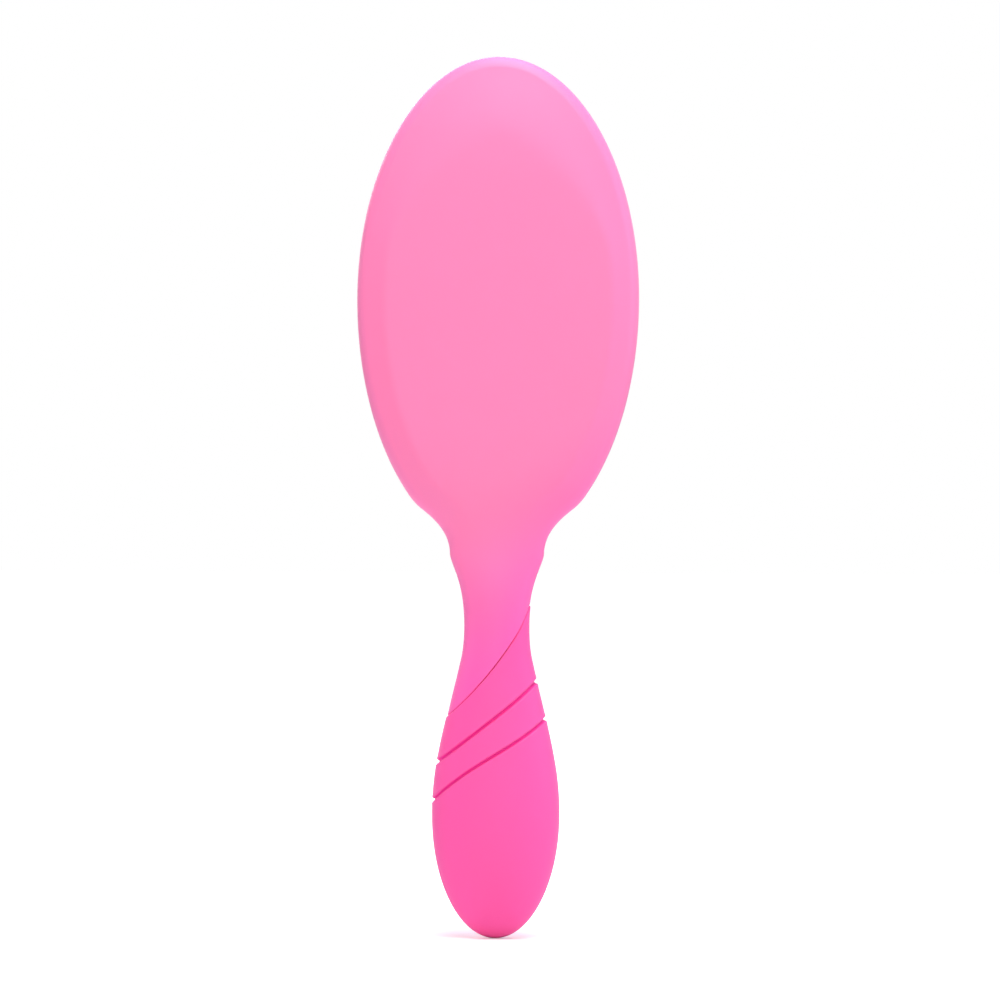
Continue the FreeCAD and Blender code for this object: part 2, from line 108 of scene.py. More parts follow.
# How far the middle of the back lies behind the axis, as (height, depth).
BACK_DEPTHS = (
    (-9.0, 10.14), (0.0, 10.6), (9.0, 10.2), (18.0, 9.2), (27.0, 7.8), (36.0, 6.4), (41.5, 5.75), (47.0, 5.5),
    (52.0, 5.56), (57.0, 5.55), (61.0, 5.25), (65.0, 4.85), (69.0, 4.72), (73.0, 5.08), (78.0, 6.08), (84.0, 7.1),
    (92.0, 7.72), (104.0, 7.95), (120.0, 7.98), (130.0, 7.92), (142.0, 7.78), (153.0, 7.55), (165.0, 7.1),
    (174.0, 6.4), (180.0, 5.65), (186.0, 4.7), (191.0, 3.8), (196.0, 2.8),
)
# How far the middle of the front lies before the axis, up to the tail's square end.
FRONT_DEPTHS = (
    (-9.0, 10.14), (0.0, 10.6), (9.0, 10.2), (18.0, 9.2), (27.0, 7.8), (36.0, 6.4), (41.5, 5.75), (47.0, 5.4),
    (52.0, 5.2), (57.0, 5.05), (61.0, 4.98), (65.0, 4.95), (69.0, 4.95),
)


def linear(code):
    """Linear red, green and blue of an sRGB hex code."""
    channels = np.array([int(code[place:place + 2], 16) for place in (1, 3, 5)]) / 255
    return tuple(np.where(channels <= 0.04045, channels / 12.92, ((channels + 0.055) / 1.055) ** 2.4))


def length(name, millimetres, description):
    """A property that holds a length, given here in millimetres."""
    return bpy.props.FloatProperty(
        name=name, description=description, default=millimetres * MM, min=0, precision=5, unit="LENGTH"
    )


def colour(name, code, description):
    """A property that holds a colour, given here as an sRGB hex code."""
    return bpy.props.FloatVectorProperty(
        name=name, description=description, default=linear(code), min=0, max=1, size=3, subtype="COLOR"
    )


class BrushSizes(bpy.types.PropertyGroup):
    """Sizes of the brush's surfaces"""

    head_half_width: length("Head half-width", shell_high.x / MM, "Half the width of the oval head")
    head_top: length("Head top", shell_high.z / MM, "Height of the head's top above the grip's widest section")
    head_widest: length("Head widest", 130.0, "Height at which the head is widest")
    head_lower_reach: length("Head lower reach", 63.4, "Half-height of the oval below its widest place")
    equator: length("Edge level", 1.0, "How far behind the axis the head's edge begins to turn in")
    nose_width: length("Edge nose width", 2.6, "Width of the round nose along the head's edge, seen from behind")
    nose_across: length("Edge nose across", 4.19, "Half-axis of the nose's ellipse along the back")
    nose_deep: length("Edge nose depth", 4.757, "Half-axis of the nose's ellipse from front to back")
    facet_end: length("Facet end", 6.9, "Distance from the head's edge to the end of its sloping facet")
    plateau_depth: length("Plateau depth", 6.4, "Depth of the flat back below the edge level")
    crease: length("Facet crease", 0.45, "Softness of the crease between facet and back")
    rim_level: length("Rim level", 2.0, "How far before the axis the shell's rim lies")
    tail_end: length("Tail end", 65.0, "Height of the front frame's square end")
    grip_half_width: length("Grip half-width", grip_high.x / MM, "Half the width of the grip")
    grip_half_depth: length("Grip half-depth", grip_high.y / MM, "Half the thickness of the grip")
    tip_drop: length("Tip drop", -grip_low.z / MM, "How far the tip hangs below the grip's widest section")
    seam_height: length("Seam height", 38.3, "Height of the grip's slanted edge on the axis")
    seam_radius: length("Seam radius", 100.0, "Radius of the arc that the grip's edge follows")
    seam_lip: length("Seam lip", 0.3, "Radius of the rounded edges on both sides of the seam")
    seam_gap: length("Seam gap", 0.18, "Gap between the shell's edge and the grip's edge")
    seam_proud: length("Seam step", 0.2, "How far the grip's edge stands above the shell")
    groove_depth: length("Groove depth", 0.75, "Depth of the two grooves in the grip")
    groove_width: length("Groove width", 1.0, "Width of the two grooves in the grip")
    frame_front: length("Frame front", 5.0, "How far before the axis the front frame reaches")
    frame_band: length("Frame band", 5.0, "Width of the front frame round the cushion")
    frame_round: length("Frame edge radius", 0.8, "Radius of the front frame's edges")
    oval_half_height: length("Opening oval", 62.2, "Half-height of the oval that the opening follows")
    oval_centre: length("Opening centre", 128.8, "Height of the middle of the opening")
    cushion_gap: length("Cushion gap", 0.3, "Gap between the cushion and the frame")
    dome_centre: length("Dome centre", 2.7, "How far before the axis the cushion's dome has its middle")
    dome_height: length("Dome height", 6.8, "Height of the cushion's dome above its middle")
    dome_overhang: length("Dome overhang", 3.0, "How far the dome's ellipsoid reaches past the cushion's side")
    membrane: length("Membrane", 1.2, "Thickness of the cushion's rubber")
    row_pitch: length("Row pitch", 6.0, "Distance between bristles in a column")
    pin_length: length("Pin length", 18.0, "Length of a bristle above its head")
    pin_root: length("Pin root radius", 0.6, "Radius of a bristle at its root")
    pin_end: length("Pin end radius", 0.42, "Radius of a bristle at its end")
    pin_head: length("Pin head radius", 1.7, "Radius of the flat head that holds a bristle behind the membrane")
    pin_head_thickness: length("Pin head thickness", 0.8, "Thickness of a bristle's flat head")
    pin_seat: length("Pin seat", 0.45, "Gap between a bristle's head and the membrane")
    bead_radius: length("Bead radius", 0.85, "Radius of the bead on a bristle's end")


class BrushColours(bpy.types.PropertyGroup):
    """Colours of the brush's finishes"""

    shell: colour("Shell", "#fc83b6", "Soft-touch coat of the shell and the front frame")
    # Painted shade: the coat darkened where the neck meets the grip, standing in for the shade there
    neck: colour("Neck", "#fd5fb4", "Deeper tone of the coat where the neck meets the grip")
    grip: colour("Grip", "#fc59a8", "Rubber of the grip")
    # Painted shade: a darker pink put in the grooves, standing in for the shade that falls there
    groove: colour("Groove", "#f030a0", "Rubber in the grooves, where the colour looks fuller")
    cushion: colour("Cushion", "#f48fbe", "Rubber of the cushion")
    bristles: colour("Bristles", "#f77fb8", "Nylon of the bristles")
    beads: colour("Beads", "#f7d3e3", "Resin of the beads")
    floor: colour("Floor", "#f4f4f4", "Paper that the brush stands on")


def sizes_in_mm():
    """The sizes of the scene's property group, in millimetres."""
    group = bpy.context.scene.brush_sizes
    return SimpleNamespace(**{name: getattr(group, name) / MM for name in BrushSizes.__annotations__})


def smooth_step(low, high, value):
    """0 below low, 1 above high, and a cubic with level ends between them."""
    part = np.clip((value - low) / (high - low), 0, 1)
    return part * part * (3 - 2 * part)


def soft_min(first, second, reach):
    """The smaller of two values, with the corner where they cross rounded over a reach."""
    close = np.maximum(reach - np.abs(first - second), 0)
    return np.minimum(first, second) - close**2 / (4 * reach)


def curve_through(stations, places):
    """A cubic from station to station whose slope at each one is that of its neighbours."""
    at, value = np.array(stations, float).T
    slope = np.gradient(value, at)
    number = np.clip(np.searchsorted(at, places) - 1, 0, len(at) - 2)
    span = at[number + 1] - at[number]
    part = np.clip((places - at[number]) / span, 0, 1)
    square, cube = part**2, part**3
    return (
        (2 * cube - 3 * square + 1) * value[number]
        + (cube - 2 * square + part) * span * slope[number]
        + (3 * square - 2 * cube) * value[number + 1]
        + (cube - square) * span * slope[number + 1]
    )


def half_width(z, s):
    """Half the brush's width at a height: a half ellipse at the tip, stations up the handle and the flared
    shoulder, and an oval of two half ellipses for the head."""
    tip = s.grip_half_width * np.sqrt(np.clip(1 - (z / s.tip_drop) ** 2, 0, 1))
    reach = np.where(z < s.head_widest, s.head_lower_reach, s.head_top - s.head_widest)
    head = s.head_half_width * np.sqrt(np.clip(1 - ((z - s.head_widest) / reach) ** 2, 0, 1))
    handle = curve_through(HANDLE_WIDTHS, z)
    shoulder = curve_through(SHOULDER_WIDTHS, z)
    return np.select([z < 0, z < s.tail_end, z < SHOULDER_TOP], [tip, handle, shoulder], head)


def handle_depth(z, s, stations):
    """Half the handle's depth at a height, towards the back or the front: a half ellipse at the tip, then
    the stations."""
    tip = s.grip_half_depth * np.sqrt(np.clip(1 - (z / s.tip_drop) ** 2, 0, 1))
    return np.where(z < 0, tip, curve_through(stations, z))


def seam_line(x, s):
    """Height of the grip's slanted edge: an arc, raised to the right by the square of the distance."""
    across = np.clip(x + s.seam_radius * math.sin(SEAM_SLANT), 0, 0.98 * s.seam_radius)
    arc = s.seam_radius * math.cos(SEAM_SLANT) - np.sqrt(s.seam_radius**2 - across**2)
    steeper = SEAM_STEEPER * np.maximum(x - SEAM_BEND, 0) ** 2
    return s.seam_height + arc + steeper


def upper_groove_line(x, s):
    """Height of the upper groove: a slanted line that steepens a little towards the right."""
    return 25 + 0.78 * x + 0.00075 * np.maximum(x, 0) ** 3


def lower_groove_line(x, s):
    """Height of the lower groove, slanted less than the upper one."""
    return 15.7 + 0.6 * x + 0.00057 * x**3


def spaced_outline(low, high, count, s):
    """Points of the right-hand outline between two heights, evenly spaced along it: (half-width, height)."""
    turn = np.linspace(0, math.pi / 2, 6000)
    z = low + (high - low) * np.sin(turn)
    x = half_width(z, s)
    travel = np.concatenate([[0], np.cumsum(np.hypot(np.diff(x), np.diff(z)))])
    even = np.linspace(0, travel[-1], count)
    return np.interp(even, travel, x), np.interp(even, travel, z)


def edge_distance(x, z, line_x, line_z):
    """Distance from points to the outline: to the nearer of the two pieces beside its nearest point."""
    gap = (x[..., None] - line_x) ** 2 + (z[..., None] - line_z) ** 2
    nearest = gap.argmin(axis=-1)
    best = np.full(x.shape, np.inf)
    for step in (-1, 0):
        start = np.clip(nearest + step, 0, len(line_x) - 2)
        run_x = line_x[start + 1] - line_x[start]
        run_z = line_z[start + 1] - line_z[start]
        along = (x - line_x[start]) * run_x + (z - line_z[start]) * run_z
        part = np.clip(along / (run_x**2 + run_z**2), 0, 1)
        away = np.hypot(x - line_x[start] - part * run_x, z - line_z[start] - part * run_z)
        best = np.minimum(best, away)
    return best


def edge_profile(distance, z, s):
    """Share of the head's full depth at a distance from its edge: an elliptic nose, then a straight facet
    tangent to it, then the level back, with a soft crease between the last two. Towards the top the facet
    widens and its crease fades out."""
    fading = smooth_step(ROLL_LOW, ROLL_HIGH, z)
    facet_end = s.facet_end + ROLL_WIDENS * fading
    crease = s.crease + ROLL_SOFTENS * fading
    part = np.clip(distance / s.nose_across, 0, s.nose_width / s.nose_across)
    nose = s.nose_deep * np.sqrt(1 - (1 - part) ** 2)
    nose_end = s.nose_deep * math.sqrt(1 - (1 - s.nose_width / s.nose_across) ** 2)
    slope = (s.plateau_depth - nose_end) / (facet_end - s.nose_width)
    facet = nose + slope * np.maximum(distance - s.nose_width, 0)
    return soft_min(facet, np.full_like(facet, s.plateau_depth), crease) / s.plateau_depth


def points(x, y, z):
    """Three arrays as one array of points."""
    return np.stack(np.broadcast_arrays(x, y, z), axis=-1)


def mirrored(patch):
    """A patch and its copy on the other side of the brush."""
    return [patch, patch * (-1, 1, 1)]


def met_by(line, side, s):
    """Heights at which a line over the handle meets its side, found by stepping to and fro between them.
    Side is the sine of the turn from the back, which is how far across the section a point lies."""
    z = np.full(side.shape, 20.0)
    for _ in range(40):
        z = line(half_width(z, s) * side, s)
    return z


def round_in(below, radius):
    """How far a rounded edge is drawn in at a distance from its end: a quarter circle."""
    inside = np.clip(radius - below, 0, radius)
    return radius - np.sqrt(radius**2 - inside**2)


def neck_patches(s):
    """The shell below the tail's end: rings of two half ellipses, back and front. From the top they come down
    to the seam, turn in round its lip and go on as a core inside the grip."""
    surface = np.concatenate([np.linspace(0, 1.2, 16), np.linspace(1.2, 3, 6)[1:]])[:, None]
    rest = np.linspace(0, 1, 56)[1:, None]
    down = np.linspace(0, 1, 30)[:, None]
    patches = []
    for way, stations, steps in ((-1, BACK_DEPTHS, 121), (1, FRONT_DEPTHS, 79)):
        turn = np.linspace(0, math.pi, steps)
        seam = met_by(seam_line, np.cos(turn), s)
        start = seam + 3 * SEAM_RISE
        z = np.concatenate([seam + surface * SEAM_RISE, start + (s.tail_end - start) * rest])
        above = (z - seam) / SEAM_RISE
        inset = round_in(above, s.seam_lip) + s.seam_proud / 2 * (1 - smooth_step(0, 5, above))
        core_z = CORE_END + (seam - CORE_END) * down
        z = np.concatenate([np.full((1, steps), CORE_END), core_z, z])
        inset = np.concatenate([np.full((1 + len(down), steps), CORE_INSET), inset])
        wide = half_width(z, s) - inset
        deep = handle_depth(z, s, stations) - inset
        wide[0] = deep[0] = 0
        patches.append(points(wide * np.cos(turn), way * deep * np.sin(turn), z))
    return patches


def shell_patches(s):
    """The shell: the neck's rings, and above the tail's end rows that run from the outline to the middle line.
    Behind, the depth turns from the neck's ellipse to the edge profile round the head. In front is the flat
    rim, with a step down to it at the tail's end and a shallow dish under the cushion."""
    neck = neck_patches(s)
    line_x, line_z = spaced_outline(s.tail_end, s.head_top, 260, s)
    turn = np.linspace(0, math.pi / 2, 61)
    middle = line_z - 0.38 * np.maximum(line_z - s.head_widest, 0)
    x = line_x[:, None] * np.cos(turn)
    z = line_z[:, None] + (middle - line_z)[:, None] * (1 - np.cos(turn))
    dense_x, dense_z = spaced_outline(50, s.head_top, 700, s)
    distance = edge_distance(x, z, np.append(dense_x, -dense_x[-2::-1]), np.append(dense_z, dense_z[-2::-1]))
    distance[:, 0] = 0
    depth = handle_depth(z, s, BACK_DEPTHS)
    wide = np.maximum(half_width(z, s), 1e-6)
    across = depth * np.sqrt(np.clip(1 - (x / wide) ** 2, 0, 1))
    level = depth - SIDE_DROP * (x / SIDE_REACH) ** 2
    head = s.equator + (level - s.equator) * edge_profile(distance, z, s)
    y = -across - (head - across) * smooth_step(s.tail_end, HEAD_BEGINS, z)
    equator = -s.equator * smooth_step(s.tail_end, HEAD_BEGINS, line_z)
    y[:, 0] = equator
    back = points(x, y, z)

    inward = np.linspace(0, 1, 38)
    inner = np.maximum(line_x - PARTING, 0)[:, None] * (1 - inward)
    fall = (middle - line_z)[:, None] * inward
    edge_x, edge_z = line_x[:, None], line_z[:, None]
    rim_x = np.concatenate([edge_x, edge_x, inner], axis=1)
    rim_z = np.concatenate([edge_z, edge_z, edge_z + fall], axis=1)
    rim_y = np.full(rim_x.shape, s.rim_level - PARTING_GAP)
    rim_y[:, 0] = equator
    rim_y[:, 1] -= PARTING
    half_x = s.head_half_width - s.frame_band - s.cushion_gap
    half_z = s.oval_half_height - s.frame_band - s.cushion_gap
    share = np.hypot(rim_x / half_x, (rim_z - s.oval_centre) / half_z)
    rim_y -= DISH_DEPTH * np.clip((1 - share) / DISH_SLOPE, 0, 1)
    rim = points(rim_x, rim_y, rim_z)
    step = np.stack([neck[1][-1][: rim.shape[1]], rim[0]])
    return neck + [half for patch in (back, rim, step) for half in mirrored(patch)]


def grip_patches(s):
    """The grip: rings round the handle that follow the tip, the two grooves and the slanted edge in turn.
    A point's height is found by stepping to where the line meets the handle's side. Its inset is the
    grooves' depth, less a fine lip beside each, and at the edge the quarter round that turns in."""
    turn = np.linspace(-math.pi, math.pi, 241)
    side = np.sin(turn)
    lower = met_by(lower_groove_line, side, s)
    upper = met_by(upper_groove_line, side, s)
    seam = met_by(seam_line, side, s) - s.seam_gap * SEAM_RISE
    near = np.linspace(-GROOVE_NEAR, GROOVE_NEAR, 33)[:, None]
    lip = np.linspace(-LIP_NEAR, 0, 19)[:, None]
    tip_share = 1 - np.cos(np.linspace(0, math.pi / 2, 60))[:, None]
    tip_top = lower - 1.7 * LOWER_RISE
    even = np.linspace(0, 1, 14)[1:-1, None]
    long = np.linspace(0, 1, 26)[1:-1, None]
    between_low, between_high = lower + GROOVE_NEAR * LOWER_RISE, upper - GROOVE_NEAR * UPPER_RISE
    edge_low, edge_high = upper + GROOVE_NEAR * UPPER_RISE, seam - LIP_NEAR * SEAM_RISE
    z = np.concatenate([
        -s.tip_drop + (tip_top + s.tip_drop) * tip_share,
        lower + near * LOWER_RISE,
        between_low + (between_high - between_low) * even,
        upper + near * UPPER_RISE,
        edge_low + (edge_high - edge_low) * long,
        seam + lip * SEAM_RISE,
    ])
    inset = -s.seam_proud / 2 * smooth_step(16, 2, (seam - z) / SEAM_RISE)
    for line, rise in ((lower, LOWER_RISE), (upper, UPPER_RISE)):
        away = np.abs(z - line) / rise
        inset += s.groove_depth * (1 - smooth_step(0.2 * s.groove_width, 0.58 * s.groove_width, away))
        inset -= 0.05 * np.exp(-(((away - 0.85 * s.groove_width) / 0.35) ** 2))
    inset += round_in((seam - z) / SEAM_RISE, s.seam_lip)
    wide, deep = half_width(z, s), handle_depth(z, s, BACK_DEPTHS)
    z = np.concatenate([z, z[-1:], z[-1:], np.full((1, len(turn)), s.seam_height)])
    hold = np.array([[0.8], [1.3]])
    wide = np.concatenate([wide - inset, wide[-1] - hold, np.zeros((1, len(turn)))])
    deep = np.concatenate([deep - inset, deep[-1] - hold, np.zeros((1, len(turn)))])
    wide[0] = deep[0] = 0
    return [points(np.maximum(wide, 0) * side, -np.maximum(deep, 0) * np.cos(turn), z)]


def groove_shade_share(mesh, s):
    """How far into a groove each corner of the grip's mesh lies, from 0 outside to 1 at its middle, kept as
    the mesh's own attribute, which places the painted shade in the grooves."""
    corners = np.empty(3 * len(mesh.vertices), np.float32)
    mesh.vertices.foreach_get("co", corners)
    x, y, z = corners.reshape(-1, 3).T / MM
    share = np.zeros(len(x))
    for line, rise in ((lower_groove_line, LOWER_RISE), (upper_groove_line, UPPER_RISE)):
        away = np.abs(z - line(x, s)) / rise
        share = np.maximum(share, 1 - smooth_step(0.2 * s.groove_width, 0.55 * s.groove_width, away))
    mesh.attributes.new("groove", "FLOAT", "POINT").data.foreach_set("value", share.astype(np.float32))


def frame_patches(s):
    """The front frame: a ring whose section runs up the outer wall, over two rounded edges and down the
    wall of the opening. The outside is the head's outline with the tail's square end, and each of its
    points is joined to the opening's ellipse along a ray from the opening's centre."""
    side_x, side_z = spaced_outline(s.tail_end, s.head_top, 260, s)
    corner = TAIL_CORNER
    bend = np.linspace(0, math.pi / 2, 12)
    end_x = np.linspace(0, side_x[0] - corner, 24)[:-1]
    round_x = side_x[0] - corner + corner * np.sin(bend)
    round_z = s.tail_end + corner - corner * np.cos(bend)
    kept = side_z > s.tail_end + corner + 0.1
    right_x = np.concatenate([end_x, round_x, side_x[kept]])
    right_z = np.concatenate([np.full(end_x.shape, s.tail_end), round_z, side_z[kept]])
    outer_x = np.concatenate([right_x, -right_x[-2::-1]])
    outer_z = np.concatenate([right_z, right_z[-2::-1]])
    ray = np.arctan2(outer_x, outer_z - s.oval_centre)
    half_x, half_z = s.head_half_width - s.frame_band, s.oval_half_height - s.frame_band
    reach = 1 / np.hypot(np.sin(ray) / half_x, np.cos(ray) / half_z)
    inner_x, inner_z = reach * np.sin(ray), s.oval_centre + reach * np.cos(ray)
    run_x = np.gradient(outer_x)
    run_z = np.gradient(outer_z)
    run = np.hypot(run_x, run_z)
    normal_x, normal_z = -run_z / run, run_x / run
    arc = np.linspace(0, math.pi / 2, 7)
    low, top, edge = s.rim_level + PARTING_GAP, s.frame_front, s.frame_round
    outward_in = np.concatenate([[PARTING, 0], edge * (1 - np.cos(arc))])
    outward_y = np.concatenate([[low, low + PARTING], top - edge + edge * np.sin(arc)])
    opening_in = np.concatenate([edge * (1 - np.cos(arc))[::-1], [0]])
    opening_y = np.concatenate([(top - edge + edge * np.sin(arc))[::-1], [low]])
    in_x, in_z = np.sin(ray), np.cos(ray)
    x = np.concatenate([
        outer_x + outward_in[:, None] * normal_x,
        inner_x + opening_in[:, None] * in_x,
    ])
    z = np.concatenate([
        outer_z + outward_in[:, None] * normal_z,
        inner_z + opening_in[:, None] * in_z,
    ])
    y = np.concatenate([outward_y, opening_y])[:, None]
    ring = points(x, y, z)
    return [np.concatenate([ring, ring[:1]])]


def seat_level(x, height, s):
    """How far forward a bristle's head reaches: just behind the membrane's dome at the head's far side."""
    inset = s.frame_band + s.cushion_gap + s.membrane - s.dome_overhang
    wide = (np.abs(x) + s.pin_head) / (s.head_half_width - inset)
    tall = (np.abs(height) + s.pin_head) / (s.oval_half_height - inset)
    rise = (s.dome_height - s.membrane) * np.sqrt(1 - wide**2 - tall**2)
    return s.dome_centre - s.pin_seat + rise


def pin_column(number, s):
    """Places of a column's bristles: how far across, and for each one its level and its height."""
    low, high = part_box(f"bristles_{number:02d}")
    across = (low.x + high.x) / 2 / MM
    first, last = low.z / MM + s.pin_head, high.z / MM - s.pin_head
    height = np.linspace(first, last, round((last - first) / s.row_pitch) + 1)
    return across, seat_level(across, height - s.oval_centre, s), height


def cushion_patches(s):
    """The cushion: rings from the crown out over the dome, round its shoulder, down the side and back in
    underneath. The dome is part of an ellipsoid, with a low collar round every bristle and a sunk vent."""
    half_x = s.head_half_width - s.frame_band - s.cushion_gap
    half_z = s.oval_half_height - s.frame_band - s.cushion_gap
    turn = np.linspace(0, 2 * math.pi, 361)
    share = np.linspace(0, 1, 111)[:, None]
    x, height = half_x * share * np.sin(turn), half_z * share * np.cos(turn)
    wide, tall = half_x + s.dome_overhang, half_z + s.dome_overhang
    y = s.dome_centre + s.dome_height * np.sqrt(1 - (x / wide) ** 2 - (height / tall) ** 2)
    inside = np.clip(1 - (1 - share) * half_x / SHOULDER_ROUND, 0, 1)
    y -= SHOULDER_ROUND * (1 - np.sqrt(1 - inside**2))
    columns = [pin_column(number, s) for number in range(1, COLUMNS + 1)]
    pin_x = np.concatenate([np.full(len(level), across) for across, level, place in columns])
    pin_z = np.concatenate([place for across, level, place in columns]) - s.oval_centre
    away = np.full(x.shape, np.inf)
    for across, place in zip(pin_x, pin_z):
        away = np.minimum(away, np.hypot(x - across, height - place))
    y += COLLAR_HEIGHT * np.exp(-((np.maximum(away - COLLAR_RADIUS, 0) / COLLAR_FALL) ** 2))
    vent = np.hypot(x, height + half_z - VENT_PLACE)
    y -= VENT_DEPTH * (1 - smooth_step(VENT_FLOOR, VENT_EDGE, vent))
    ring = np.array([1, 1 - DISH_SLOPE, 0])[:, None]
    x = np.concatenate([x, half_x * np.sin(turn) * ring])
    height = np.concatenate([height, half_z * np.cos(turn) * ring])
    under = s.rim_level + np.array([UNDER_RIM, UNDER_DEEP, UNDER_DEEP])[:, None]
    y = np.concatenate([y, np.broadcast_to(under, (3, len(turn)))])
    return [points(x, y, height + s.oval_centre)]


def turned(profile, sides, across, level, height):
    """A solid of revolution about a line along +Y: each (radius, distance) of the profile is a ring."""
    radius, along = np.array(profile, float).T
    turn = np.linspace(0, 2 * math.pi, sides + 1)
    return points(
        across + radius[:, None] * np.cos(turn),
        level + along[:, None],
        height + radius[:, None] * np.sin(turn),
    )


def pin_patches(number, s):
    """A column's bristles: a flat head, a straight root and a slender taper for each one."""
    across, levels, heights = pin_column(number, s)
    profile = (
        (0, -s.pin_head_thickness), (s.pin_head, -s.pin_head_thickness), (s.pin_head, 0), (s.pin_root, 0),
        (s.pin_root, s.pin_length / 4), (s.pin_end, s.pin_length), (0, s.pin_length),
    )
    return [turned(profile, ROUND_SIDES, across, level, height) for level, height in zip(levels, heights)]


def bead_patches(number, s):
    """A column's beads: a ball drawn out a little along the bristle, where the dip ran down it."""
    across, levels, heights = pin_column(number, s)
    rise = np.linspace(-1, 1, 9)
    radius = s.bead_radius * np.cos(rise * math.pi / 2)
    along = s.bead_radius * np.sin(rise * math.pi / 2)
    along = np.where(along < 0, along * BEAD_DRAWN, along) + s.pin_length
    profile = np.stack([np.maximum(radius, 0), along], axis=-1)
    return [turned(profile, ROUND_SIDES, across, level, height) for level, height in zip(levels, heights)]


def add_piece(name, patches, material, body, nodes, crease=40):
    """A closed mesh welded from patches of points, with its faces turned outwards, which rides on a body and
    stands for CAD nodes."""
    corners, faces, count = [], [], 0
    for patch in patches:
        rows, columns = patch.shape[:2]
        first = count + np.arange(rows - 1)[:, None] * columns + np.arange(columns - 1)
        quads = np.stack([first, first + 1, first + columns + 1, first + columns], axis=-1)
        corners.append(patch.reshape(-1, 3) * MM)
        faces.append(quads.reshape(-1, 4))
        count += rows * columns
    mesh = bpy.data.meshes.new(name)
    mesh.from_pydata(np.concatenate(corners), [], np.concatenate(faces))
    work = bmesh.new()
    work.from_mesh(mesh)
    bmesh.ops.remove_doubles(work, verts=work.verts, dist=WELD)
    bmesh.ops.recalc_face_normals(work, faces=work.faces)
    work.to_mesh(mesh)
    work.free()
    mesh.shade_smooth()
    mesh.set_sharp_from_angle(angle=math.radians(crease))
    mesh.materials.append(material)
    piece = bpy.data.objects.new(name, mesh)
    bpy.context.scene.collection.objects.link(piece)
    if isinstance(body, str):
        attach(piece, body)
    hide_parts(*nodes)
    return piece


def add_node(tree, kind, inputs=(), **settings):
    """A node with its settings, whose inputs are values or the sockets that feed them."""
    node = tree.nodes.new(kind)
    for name, value in settings.items():
        setattr(node, name, value)
    for name, value in dict(inputs).items():
        if isinstance(value, bpy.types.NodeSocket):
            tree.links.new(value, node.inputs[name])
        else:
            node.inputs[name].default_value = value
    return node


def new_material(name):
    """An empty material with an output and the piece's own coordinates."""
    material = bpy.data.materials.new(name)
    material.use_nodes = True
    tree = material.node_tree
    tree.nodes.clear()
    place = add_node(tree, "ShaderNodeTexCoord").outputs["Object"]
    return material, tree, place


def moulded(name, base, mottle, mottle_size, grain_size, grain_height, rough, gloss, painted_neck_shade=None, painted_groove_shade=None):
    """A moulded finish: a colour that drifts a little over a distance, a fine grain that lifts the surface
    and roughness that follows the same drift. Sizes are in millimetres. A darker colour, painted shade, takes
    over down the neck, square to the grip's seam, and another painted shade where the mesh says that it lies in a
    groove."""
    material, tree, place = new_material(name)
    drift = add_node(tree, "ShaderNodeTexNoise", {"Vector": place, "Scale": 1 / (mottle_size * MM), "Detail": 3})
    low, high = (tuple(min(1, part * (1 + way * mottle)) for part in base) + (1,) for way in (-1, 1))
    # Of a colour mix, input 0 is the factor, 6 and 7 are the two colours and output 2 is the result.
    tone = add_node(tree, "ShaderNodeMix", {0: drift.outputs["Fac"], 6: low, 7: high}, data_type="RGBA")
    result = tone.outputs[2]
    # Painted shade: a darker colour mixed in down the neck towards the grip's seam
    if painted_neck_shade:
        along = add_node(tree, "ShaderNodeVectorMath", {0: place, 1: NECK_SLANT}, operation="DOT_PRODUCT")
        neck_shade_fade = add_node(tree, "ShaderNodeMapRange", {
            "Value": along.outputs["Value"], "From Min": NECK_SHADE_TOP * MM, "From Max": NECK_SHADE_END * MM,
        }, interpolation_type="SMOOTHSTEP")
        neck = add_node(
            tree, "ShaderNodeMix", {0: neck_shade_fade.outputs["Result"], 6: result, 7: (*painted_neck_shade, 1)}, data_type="RGBA"
        )
        result = neck.outputs[2]
    # Painted shade: a darker pink mixed in where the mesh lies in a groove
    if painted_groove_shade:
        groove = add_node(tree, "ShaderNodeAttribute", attribute_name="groove")
        groove_shade_mix = add_node(
            tree, "ShaderNodeMix", {0: groove.outputs["Fac"], 6: result, 7: (*painted_groove_shade, 1)}, data_type="RGBA"
        )
        result = groove_shade_mix.outputs[2]
    shine = add_node(
        tree, "ShaderNodeMapRange",
        {"Value": drift.outputs["Fac"], "To Min": rough - 0.04, "To Max": rough + 0.04},
    )
    grain = add_node(tree, "ShaderNodeTexNoise", {"Vector": place, "Scale": 1 / (grain_size * MM), "Detail": 2})
    lift = add_node(
        tree, "ShaderNodeBump",
        {"Height": grain.outputs["Fac"], "Distance": grain_height * MM, "Strength": 1},
    )
    surface = add_node(tree, "ShaderNodeBsdfPrincipled", {
        "Base Color": result,
        "Roughness": shine.outputs["Result"],
        "Normal": lift.outputs["Normal"],
        **gloss,
    })
    add_node(tree, "ShaderNodeOutputMaterial", {"Surface": surface.outputs["BSDF"]})
    return material


def soft_touch_abs():
    """ABS moulded and sprayed with a soft-touch coat: a satin skin with a velvet edge and no sharp
    reflections. The coat's grain is drawn at 0.35 mm, coarser than the real one, so that it shows."""
    base = bpy.context.scene.brush_colours.shell
    # The neck colour is painted shade where the neck meets the grip
    painted_neck_shade = bpy.context.scene.brush_colours.neck
    gloss = {"IOR": 1.5, "Specular IOR Level": 0.4, "Sheen Weight": 0.18, "Sheen Roughness": 0.4}
    return moulded("soft_touch_coated_abs", base, 0.015, 24, 0.35, 0.004, 0.46, gloss, painted_neck_shade)


